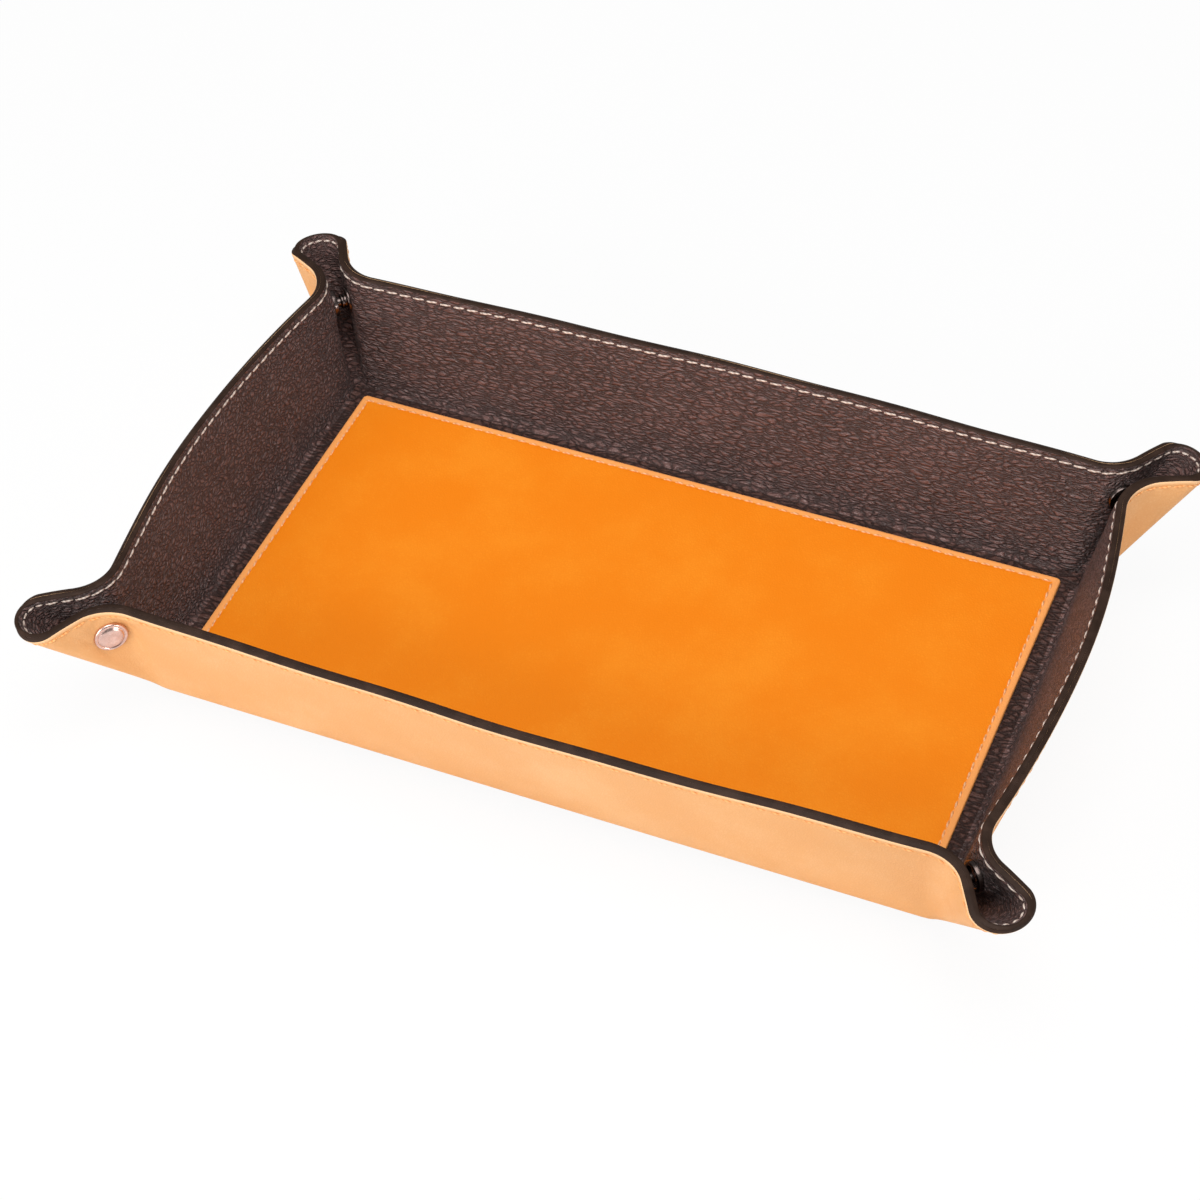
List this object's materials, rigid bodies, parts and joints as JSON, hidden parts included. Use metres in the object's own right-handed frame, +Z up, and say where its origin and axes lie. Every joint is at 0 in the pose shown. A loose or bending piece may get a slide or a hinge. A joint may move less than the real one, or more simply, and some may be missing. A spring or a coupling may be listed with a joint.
{
  "type": "valet tray",
  "caption": "Rectangular leather valet tray with flared walls and corners pinched into rounded ears by press studs; it opens flat.",
  "frame": {"origin": "centre of the base, on its underside", "axes": "+X along the length, +Y towards the back wall, +Z up"},
  "size_m": [0.285, 0.185, 0.039],
  "materials": {
    "outer_leather": "smooth aniline, satin",
    "lining_leather": "pebbled grain, semi-matt",
    "panel_leather": "smooth, satin",
    "board": "plain fibreboard",
    "snap_metal": "polished nickel plate"
  },
  "bodies": {
    "base": {"base_leather": "outer_leather", "base_board": "board", "base_lining": "lining_leather", "floor_panel": "panel_leather"},
    "front_wall": {"front_wall_leather": "outer_leather", "front_wall_lining": "lining_leather"},
    "back_wall": {"back_wall_leather": "outer_leather", "back_wall_lining": "lining_leather"},
    "left_wall": {"left_wall_leather": "outer_leather", "left_wall_lining": "lining_leather"},
    "right_wall": {"right_wall_leather": "outer_leather", "right_wall_lining": "lining_leather"},
    "front_left_front_flap": {"front_left_front_flap_leather": "outer_leather", "front_left_front_flap_lining": "lining_leather", "front_left_cap": "snap_metal", "front_left_socket": "snap_metal"},
    "front_left_front_tip": {"front_left_front_tip_leather": "outer_leather", "front_left_front_tip_lining": "lining_leather"},
    "front_left_left_flap": {"front_left_left_flap_leather": "outer_leather", "front_left_left_flap_lining": "lining_leather", "front_left_stud": "snap_metal", "front_left_post": "snap_metal"},
    "front_left_left_tip": {"front_left_left_tip_leather": "outer_leather", "front_left_left_tip_lining": "lining_leather"},
    "front_right_front_flap": {"front_right_front_flap_leather": "outer_leather", "front_right_front_flap_lining": "lining_leather", "front_right_stud": "snap_metal", "front_right_post": "snap_metal"},
    "front_right_front_tip": {"front_right_front_tip_leather": "outer_leather", "front_right_front_tip_lining": "lining_leather"},
    "front_right_right_flap": {"front_right_right_flap_leather": "outer_leather", "front_right_right_flap_lining": "lining_leather", "front_right_cap": "snap_metal", "front_right_socket": "snap_metal"},
    "front_right_right_tip": {"front_right_right_tip_leather": "outer_leather", "front_right_right_tip_lining": "lining_leather"},
    "back_right_back_flap": {"back_right_back_flap_leather": "outer_leather", "back_right_back_flap_lining": "lining_leather", "back_right_cap": "snap_metal", "back_right_socket": "snap_metal"},
    "back_right_back_tip": {"back_right_back_tip_leather": "outer_leather", "back_right_back_tip_lining": "lining_leather"},
    "back_right_right_flap": {"back_right_right_flap_leather": "outer_leather", "back_right_right_flap_lining": "lining_leather", "back_right_stud": "snap_metal", "back_right_post": "snap_metal"},
    "back_right_right_tip": {"back_right_right_tip_leather": "outer_leather", "back_right_right_tip_lining": "lining_leather"},
    "back_left_back_flap": {"back_left_back_flap_leather": "outer_leather", "back_left_back_flap_lining": "lining_leather", "back_left_stud": "snap_metal", "back_left_post": "snap_metal"},
    "back_left_back_tip": {"back_left_back_tip_leather": "outer_leather", "back_left_back_tip_lining": "lining_leather"},
    "back_left_left_flap": {"back_left_left_flap_leather": "outer_leather", "back_left_left_flap_lining": "lining_leather", "back_left_cap": "snap_metal", "back_left_socket": "snap_metal"},
    "back_left_left_tip": {"back_left_left_tip_leather": "outer_leather", "back_left_left_tip_lining": "lining_leather"}
  },
  "joints": [
    {"name": "front_wall_fold", "type": "hinge", "parent": "base", "child": "front_wall", "pos_m": [0, -0.0665, 0], "axis": [1, 0, 0], "range_deg": [0, 73]},
    {"name": "back_wall_fold", "type": "hinge", "parent": "base", "child": "back_wall", "pos_m": [0, 0.0665, 0], "axis": [-1, 0, 0], "range_deg": [0, 73]},
    {"name": "left_wall_fold", "type": "hinge", "parent": "base", "child": "left_wall", "pos_m": [-0.1165, 0, 0], "axis": [0, -1, 0], "range_deg": [0, 69]},
    {"name": "right_wall_fold", "type": "hinge", "parent": "base", "child": "right_wall", "pos_m": [0.1165, 0, 0], "axis": [0, 1, 0], "range_deg": [0, 69]},
    {"name": "front_left_front_neck_fold", "type": "hinge", "parent": "front_wall", "child": "front_left_front_flap", "pos_m": [-0.1165, -0.0665, 0], "axis": [0.1154, 0.1847, -0.976], "range_deg": [0, 35.12]},
    {"name": "front_left_front_ear_fold", "type": "hinge", "parent": "front_left_front_flap", "child": "front_left_front_tip", "pos_m": [-0.1165, -0.0665, 0], "axis": [-0.4735, -0.5725, 0.6693], "range_deg": [0, 75.57]},
    {"name": "front_left_left_neck_fold", "type": "hinge", "parent": "left_wall", "child": "front_left_left_flap", "pos_m": [-0.1165, -0.0665, 0], "axis": [-0.1844, -0.2299, 0.9556], "range_deg": [0, 35.97]},
    {"name": "front_left_left_ear_fold", "type": "hinge", "parent": "front_left_left_flap", "child": "front_left_left_tip", "pos_m": [-0.1165, -0.0665, 0], "axis": [0.5598, 0.4747, -0.6792], "range_deg": [0, 75.51]},
    {"name": "front_right_front_neck_fold", "type": "hinge", "parent": "front_wall", "child": "front_right_front_flap", "pos_m": [0.1165, -0.0665, 0], "axis": [0.1154, -0.1847, 0.976], "range_deg": [0, 35.12]},
    {"name": "front_right_front_ear_fold", "type": "hinge", "parent": "front_right_front_flap", "child": "front_right_front_tip", "pos_m": [0.1165, -0.0665, 0], "axis": [-0.4735, 0.5725, -0.6693], "range_deg": [0, 75.57]},
    {"name": "front_right_right_neck_fold", "type": "hinge", "parent": "right_wall", "child": "front_right_right_flap", "pos_m": [0.1165, -0.0665, 0], "axis": [-0.1844, 0.2299, -0.9556], "range_deg": [0, 35.97]},
    {"name": "front_right_right_ear_fold", "type": "hinge", "parent": "front_right_right_flap", "child": "front_right_right_tip", "pos_m": [0.1165, -0.0665, 0], "axis": [0.5598, -0.4747, 0.6792], "range_deg": [0, 75.51]},
    {"name": "back_right_back_neck_fold", "type": "hinge", "parent": "back_wall", "child": "back_right_back_flap", "pos_m": [0.1165, 0.0665, 0], "axis": [-0.1154, -0.1847, -0.976], "range_deg": [0, 35.12]},
    {"name": "back_right_back_ear_fold", "type": "hinge", "parent": "back_right_back_flap", "child": "back_right_back_tip", "pos_m": [0.1165, 0.0665, 0], "axis": [0.4735, 0.5725, 0.6693], "range_deg": [0, 75.57]},
    {"name": "back_right_right_neck_fold", "type": "hinge", "parent": "right_wall", "child": "back_right_right_flap", "pos_m": [0.1165, 0.0665, 0], "axis": [0.1844, 0.2299, 0.9556], "range_deg": [0, 35.97]},
    {"name": "back_right_right_ear_fold", "type": "hinge", "parent": "back_right_right_flap", "child": "back_right_right_tip", "pos_m": [0.1165, 0.0665, 0], "axis": [-0.5598, -0.4747, -0.6792], "range_deg": [0, 75.51]},
    {"name": "back_left_back_neck_fold", "type": "hinge", "parent": "back_wall", "child": "back_left_back_flap", "pos_m": [-0.1165, 0.0665, 0], "axis": [-0.1154, 0.1847, 0.976], "range_deg": [0, 35.12]},
    {"name": "back_left_back_ear_fold", "type": "hinge", "parent": "back_left_back_flap", "child": "back_left_back_tip", "pos_m": [-0.1165, 0.0665, 0], "axis": [0.4735, -0.5725, -0.6693], "range_deg": [0, 75.57]},
    {"name": "back_left_left_neck_fold", "type": "hinge", "parent": "left_wall", "child": "back_left_left_flap", "pos_m": [-0.1165, 0.0665, 0], "axis": [0.1844, -0.2299, -0.9556], "range_deg": [0, 35.97]},
    {"name": "back_left_left_ear_fold", "type": "hinge", "parent": "back_left_left_flap", "child": "back_left_left_tip", "pos_m": [-0.1165, 0.0665, 0], "axis": [-0.5598, 0.4747, 0.6792], "range_deg": [0, 75.51]}
  ],
  "couplings": [
    {"joint": "back_wall_fold", "follows": "front_wall_fold", "ratio": 1},
    {"joint": "left_wall_fold", "follows": "front_wall_fold", "ratio": 0.9452},
    {"joint": "right_wall_fold", "follows": "front_wall_fold", "ratio": 0.9452},
    {"joint": "front_left_front_neck_fold", "follows": "front_wall_fold", "ratio": 0.48099},
    {"joint": "front_left_front_ear_fold", "follows": "front_wall_fold", "ratio": 1.0351},
    {"joint": "front_left_left_neck_fold", "follows": "front_wall_fold", "ratio": 0.49266},
    {"joint": "front_left_left_ear_fold", "follows": "front_wall_fold", "ratio": 1.0344},
    {"joint": "front_right_front_neck_fold", "follows": "front_wall_fold", "ratio": 0.48099},
    {"joint": "front_right_front_ear_fold", "follows": "front_wall_fold", "ratio": 1.0351},
    {"joint": "front_right_right_neck_fold", "follows": "front_wall_fold", "ratio": 0.49266},
    {"joint": "front_right_right_ear_fold", "follows": "front_wall_fold", "ratio": 1.0344},
    {"joint": "back_right_back_neck_fold", "follows": "front_wall_fold", "ratio": 0.48099},
    {"joint": "back_right_back_ear_fold", "follows": "front_wall_fold", "ratio": 1.0351},
    {"joint": "back_right_right_neck_fold", "follows": "front_wall_fold", "ratio": 0.49266},
    {"joint": "back_right_right_ear_fold", "follows": "front_wall_fold", "ratio": 1.0344},
    {"joint": "back_left_back_neck_fold", "follows": "front_wall_fold", "ratio": 0.48099},
    {"joint": "back_left_back_ear_fold", "follows": "front_wall_fold", "ratio": 1.0351},
    {"joint": "back_left_left_neck_fold", "follows": "front_wall_fold", "ratio": 0.49266},
    {"joint": "back_left_left_ear_fold", "follows": "front_wall_fold", "ratio": 1.0344}
  ]
}
